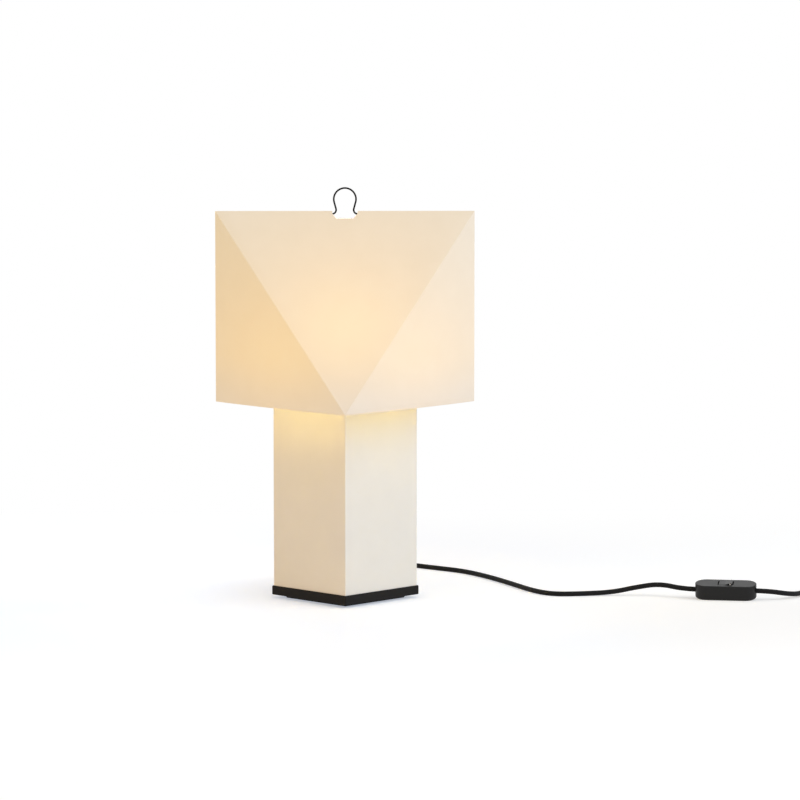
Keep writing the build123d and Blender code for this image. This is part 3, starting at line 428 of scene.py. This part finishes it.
# ------------------------------------------------------------------ materials
class Finish(NodeTree):
    """One material's node tree."""

    def __init__(self, name, **sockets):
        self.material = bpy.data.materials.new(name)
        self.material.use_nodes = True
        super().__init__(self.material.node_tree)
        self.shader = self.tree.nodes["Principled BSDF"]
        for socket, value in sockets.items():
            self.set(socket.replace("_", " "), value)

    def set(self, socket, value):
        self.plug(self.shader.inputs[socket], value)

    def place(self):
        return self.add("ShaderNodeTexCoord", out="Object")

    def along(self):
        return self.add("ShaderNodeUVMap", {"uv_map": "along"})

    def noise(self, vector, scale, detail=3.0, roughness=0.5):
        sockets = {"Vector": vector, "Scale": scale, "Detail": detail, "Roughness": roughness}
        return self.add("ShaderNodeTexNoise", None, **sockets)

    def ramp(self, value, *stops):
        return self.add("ShaderNodeValToRGB", {"stops": stops}, value)

    def blend(self, factor, first, second):
        node = self.tree.nodes.new("ShaderNodeMix")
        node.data_type = "RGBA"
        self.plug(node.inputs["Factor"], factor)
        self.plug(node.inputs[6], first)
        self.plug(node.inputs[7], second)
        return Wire(self, node.outputs[2])

    def ease(self, value, start, end):
        """0 before the start, 1 after the end, smooth between."""
        return self.add("ShaderNodeMapRange", {"interpolation_type": "SMOOTHSTEP"}, value, start, end)

    def relief(self, height, distance, strength=1.0):
        sockets = {"Height": height, "Distance": distance, "Strength": strength}
        self.set("Normal", self.add("ShaderNodeBump", None, **sockets))


def fall_off(tree, vector, centre, spread):
    """1 at a centre, falling smoothly to 0 with distance."""
    away = tree.add("ShaderNodeVectorMath", {"operation": "SUBTRACT"}, vector, centre)
    away = tree.add("ShaderNodeVectorMath", {"operation": "DIVIDE"}, away, spread)
    square = tree.add("ShaderNodeVectorMath", {"operation": "DOT_PRODUCT"}, away, away, out="Value")
    return (square + 1.0) ** -1.0


def paper(name, roughness, pulp_scale, cloud_scale, dark, light):
    """Matt paper: fine pulp in its surface, soft clouds in its tone."""
    tree = Finish(name, Roughness=roughness, Specular_IOR_Level=0.25)
    here = tree.place()
    pulp = tree.noise(here, pulp_scale, 4.0)
    cloud = tree.noise(here, cloud_scale, 3.0)
    tree.set("Base Color", tree.blend(cloud, dark, light))
    tree.relief(pulp * 0.6 + cloud, 0.00006, 0.6)
    return tree


def shade_finish():
    """Paper lit from behind, its light painted into the emission: a broad glow, a bright spot in front of
    the lamp, a dimmer rim, and a bluish glow inside the fold along the ridge.
    """
    tree = paper("shade_paper", 0.82, 900.0, 38.0, (0.521, 0.518, 0.519), (0.558, 0.557, 0.562))
    here = tree.place()
    height = tree.part(here, "Z")
    glow = fall_off(tree, here, GLOW_CENTRE, GLOW_SPREAD)
    spot = glow ** 5.0
    above_rim = tree.ease(height, 0.235, 0.305)
    facing = tree.part(tree.add("ShaderNodeNewGeometry", out="Normal"), "Z")
    # painted light: a bluish emission on the inner faces of the fold along the ridge
    bluish_glow_in_fold = facing.math("LESS_THAN", -0.3) * tree.ease(height, 0.445, 0.455)
    red = glow * 0.441 + spot * 0.8 + above_rim * 0.058 + 0.218
    green = glow * 0.150 + spot * 1.14 + above_rim * 0.024 + 0.199
    blue = glow * -0.089 + spot * 0.71 + above_rim * -0.032 + bluish_glow_in_fold * 0.47 + 0.148
    tree.set("Emission Color", tree.add("ShaderNodeCombineColor", None, red, green, blue))
    tree.set("Emission Strength", 1.0)
    return tree.material


def column_finish():
    return paper("column_paper", 0.8, 700.0, 30.0, (0.83, 0.80, 0.74), (0.87, 0.84, 0.78)).material


def grained_finish(name, colour, roughness, scale, depth, metallic=0.0, contrast=0.12, **more):
    """Plain material with a fine grain in its tone, roughness and surface."""
    tree = Finish(name, Metallic=metallic, **more)
    here = tree.place()
    grain = tree.noise(here, scale, 4.0)
    patch = tree.noise(here, scale / 18.0, 2.0)
    dark = tuple(value * (1.0 - contrast) for value in colour)
    light = tuple(min(1.0, value * (1.0 + contrast)) for value in colour)
    tree.set("Base Color", tree.blend(patch, dark, light))
    tree.set("Roughness", patch * 0.12 + (roughness - 0.06))
    tree.relief(grain, depth, 0.5)
    return tree.material


def wood_finish(name, dark, light):
    """Board or batten with faint fibres along its length."""
    tree = Finish(name, Roughness=0.7)
    stretched = tree.add("ShaderNodeMapping", None, Vector=tree.place(), Scale=(1.0, 1.0, 0.08))
    fibre = tree.noise(stretched, 420.0, 5.0, 0.6)
    tree.set("Base Color", tree.blend(fibre, dark, light))
    tree.relief(fibre, 0.0001, 0.5)
    return tree.material


def braid_finish():
    """Textile sleeve: two sets of slanting threads that pass over each other round the lead."""
    sheen = {"Sheen_Weight": 0.06, "Sheen_Roughness": 0.5}
    tree = Finish("lead_textile", Roughness=0.9, Specular_IOR_Level=0.2, **sheen)
    along = tree.along()
    u = tree.part(along, "X") * (2 * math.pi / BRAID_PITCH)
    v = tree.part(along, "Y") * (2 * math.pi * BRAID_THREADS)
    one = (u + v).math("SINE")
    two = (u - v).math("SINE")
    over = ((u * 0.5).math("SINE") * (v * 0.5).math("SINE")).math("GREATER_THAN", 0.0)
    threads = one.math("ABSOLUTE") * over + two.math("ABSOLUTE") * (1.0 - over)
    fluff = tree.noise(tree.place(), 1500.0, 3.0)
    # the tone follows the thread relief, darker in the grooves between threads: a painted shade along with
    # the bump, plus random fluff
    shade = threads * 0.7 + fluff * 0.3
    tree.set("Base Color", tree.blend(shade, (0.002, 0.002, 0.0022), (0.011, 0.011, 0.012)))
    tree.relief(shade, 0.0003, 0.8)
    return tree.material


def opal_finish():
    """Lit glass: its surroundings get its full light, and the eye sees a calm warm glow."""
    tree = Finish("lamp_opal", Base_Color=(0.50, 0.48, 0.44), Roughness=0.35)
    # 0 at a height of 0.31 m, 1 at 0.36 m
    up = tree.part(tree.place(), "Z") * 20.0 - 6.2
    lit = tree.ramp(up, (0.0, (1.0, 0.74, 0.15)), (0.5, (1.0, 0.77, 0.17)))
    eye = tree.add("ShaderNodeLightPath", out="Is Camera Ray")
    tree.set("Emission Color", tree.blend(eye, lit, (0.0105, 0.0070, 0.0022)))
    tree.set("Emission Strength", 59.7)
    return tree.material


METAL = {"metallic": 1.0}
PLAIN = {"contrast": 0.03}
# Colour, roughness, scale of the grain, its depth in metres, and what else a finish has
GRAINED = {
    "base_black": ((0.0135, 0.0125, 0.0118), 0.6, 900.0, 0.00003, {"Specular_IOR_Level": 0.1}),
    "pad_black": ((0.012, 0.012, 0.012), 0.85, 1400.0, 0.0001, {}),
    "screw_steel": ((0.60, 0.60, 0.58), 0.35, 600.0, 0.00002, METAL),
    "frame_wire": ((0.003, 0.003, 0.0033), 0.5, 800.0, 0.00002, {"Specular_IOR_Level": 0.08}),
    "tube_steel": ((0.62, 0.60, 0.54), 0.4, 600.0, 0.00002, METAL),
    "holder_plastic": ((0.80, 0.79, 0.76), 0.35, 500.0, 0.00001, PLAIN),
    "holder_insert": ((0.72, 0.70, 0.66), 0.6, 700.0, 0.00004, {"contrast": 0.05}),
    "contact_brass": ((0.78, 0.58, 0.28), 0.35, 500.0, 0.00002, METAL),
    "lamp_cap_metal": ((0.70, 0.70, 0.69), 0.35, 500.0, 0.00002, METAL),
    "lamp_plastic": ((0.82, 0.82, 0.80), 0.45, 600.0, 0.00002, PLAIN),
    "black_plastic": ((0.003, 0.003, 0.0032), 0.36, 1600.0, 0.00003, {"Specular_IOR_Level": 0.3}),
    "rocker_plastic": ((0.004, 0.004, 0.0042), 0.32, 1600.0, 0.00002, {"Specular_IOR_Level": 0.35}),
    # white for the small dot on the side of the rocker's raised end, a painted glint as much as a mark
    "mark_white": ((0.80, 0.80, 0.80), 0.4, 900.0, 0.00001, PLAIN),
    "plug_metal": ((0.72, 0.70, 0.64), 0.28, 500.0, 0.00001, METAL),
    "tie_fabric": ((0.02, 0.02, 0.021), 0.9, 1800.0, 0.0002, {}),
}

finishes = {
    "shade_paper": shade_finish(),
    "column_paper": column_finish(),
    "board": wood_finish("board", (0.52, 0.40, 0.27), (0.66, 0.53, 0.37)),
    "batten": wood_finish("batten", (0.60, 0.45, 0.27), (0.76, 0.62, 0.42)),
    "lamp_opal": opal_finish(),
    "lead_textile": braid_finish(),
}
for name, (*values, more) in GRAINED.items():
    finishes[name] = grained_finish(name, *values, **more)


def paint(piece, finish):
    """One material on the whole piece; the cutter leaves the notch's faces without one."""
    piece.data.materials.clear()
    piece.data.materials.append(finish)


for part in frame["record"]["subparts"]:
    for slot in nodes[part["node"]].material_slots:
        slot.material = finishes[part["material_slot"]]

shade = make_shade(finishes["shade_paper"])
paint(shade, finishes["shade_paper"])
paint(lead_lamp_side, finishes["lead_textile"])
paint(lead_wall_side, finishes["lead_textile"])


# ------------------------------------------------------------------ studio
# The floor lights the lamp with FLOOR_TONE. In view it keeps the shadow with FLOOR_IN_VIEW, and the
# rest up to white is its own glow, for the front and the back: left of the lamp, by it, by the switch.
FLOOR_HALF = 12.0
FLOOR_TONE = (0.9, 0.9, 0.9)
FLOOR_IN_VIEW = (0.7, 0.7, 0.7)
FLOOR_FRONT = (0.432, 0.500, 0.610), (0.363, 0.400, 0.460), (0.375, 0.375, 0.370)
FLOOR_BACK = (0.560, 0.635, 0.770), (0.446, 0.458, 0.490), (0.475, 0.480, 0.480)
FLOOR_FOREGROUND = (0.50, 0.51, 0.51)
WHITE = (1.0, 1.0, 1.0)
BLACK = (0.0, 0.0, 0.0)
AMBIENT = 0.35
COOL, WARM = (0.90, 0.94, 1.0), (1.0, 0.593, 0.171)
LIGHTS = {
    # Place, aim, width and height, power, colour
    "key_from_the_right": ((2.4, -1.0, 1.7), (0, 0, 0.2), (2.6, 2.2), 51.2, COOL),
    "fill_from_above": ((0.2, -0.6, 2.6), (0, 0, 0), (3.0, 3.0), 11.6, COOL),
    "warm_fill_from_the_left": ((-2.3, -1.7, 1.0), (0, 0, 0.15), (2.0, 1.6), 25.6, WARM),
}


def soft_light(name, place, aim, size, power, colour):
    data = bpy.data.lights.new(name, "AREA")
    data.shape = "RECTANGLE"
    data.size, data.size_y = size
    data.energy = power
    data.color = colour
    light = bpy.data.objects.new(name, data)
    light.location = place
    light.rotation_euler = (Vector(aim) - Vector(place)).to_track_quat("-Z", "Y").to_euler()
    bpy.context.collection.objects.link(light)


def studio_floor():
    mesh = bpy.data.meshes.new("studio_floor")
    corners = [(x * FLOOR_HALF, y * FLOOR_HALF, 0) for x, y in ((-1, -1), (1, -1), (1, 1), (-1, 1))]
    mesh.from_pydata(corners, [], [(0, 1, 2, 3)])
    floor = bpy.data.objects.new("studio_floor", mesh)
    bpy.context.collection.objects.link(floor)
    tree = Finish("studio_floor", Roughness=1.0, Specular_IOR_Level=0.0)
    here = tree.place()
    x, y = tree.part(here, "X"), tree.part(here, "Y")
    away = tree.add("ShaderNodeVectorMath", {"operation": "LENGTH"}, here, out="Value")
    far = tree.ease(away, 0.7, 1.7).math("MAXIMUM", tree.ease(y, 0.2, 0.8))
    past_lamp, past_lead = tree.ease(x, -0.25, 0.0), tree.ease(x, 0.15, 0.45)
    backwards, forwards = tree.ease(y, -0.1, 0.1), tree.ease(y, -0.15, -1.0)
    front, back = [
        tree.blend(past_lead, tree.blend(past_lamp, left, middle), right)
        for left, middle, right in (FLOOR_FRONT, FLOOR_BACK)
    ]
    plain = tree.blend(backwards, front, back)
    white = tree.blend(far, tree.blend(forwards, plain, FLOOR_FOREGROUND), WHITE)
    seen = tree.seen()
    tree.set("Base Color", tree.blend(seen, FLOOR_TONE, tree.blend(far, FLOOR_IN_VIEW, BLACK)))
    tree.set("Emission Color", tree.blend(seen, BLACK, white))
    tree.set("Emission Strength", 1.0)
    floor.data.materials.append(tree.material)


def studio_world():
    world = bpy.data.worlds.new("studio")
    world.use_nodes = True
    bpy.context.scene.world = world
    tree = NodeTree(world.node_tree)
    background = world.node_tree.nodes["Background"]
    tree.plug(background.inputs["Color"], WHITE)
    tree.plug(background.inputs["Strength"], tree.seen().math("MAXIMUM", AMBIENT))


studio_floor()
studio_world()
for name, settings in LIGHTS.items():
    soft_light(name, *settings)

# ------------------------------------------------------------------ what carries each piece
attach(shade, "shade")
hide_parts("shade_front_facet", "shade_front_left_facet", "shade_front_right_facet", "shade_back_facet",
            "shade_back_left_facet", "shade_back_right_facet")
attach(lead_lamp_side, "base")
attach(lead_wall_side, "base")
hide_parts("cord_lamp_side")
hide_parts("cord_wall_side", "cord_coil", "cord_tail")

bpy.context.scene.view_settings.view_transform = "Standard"
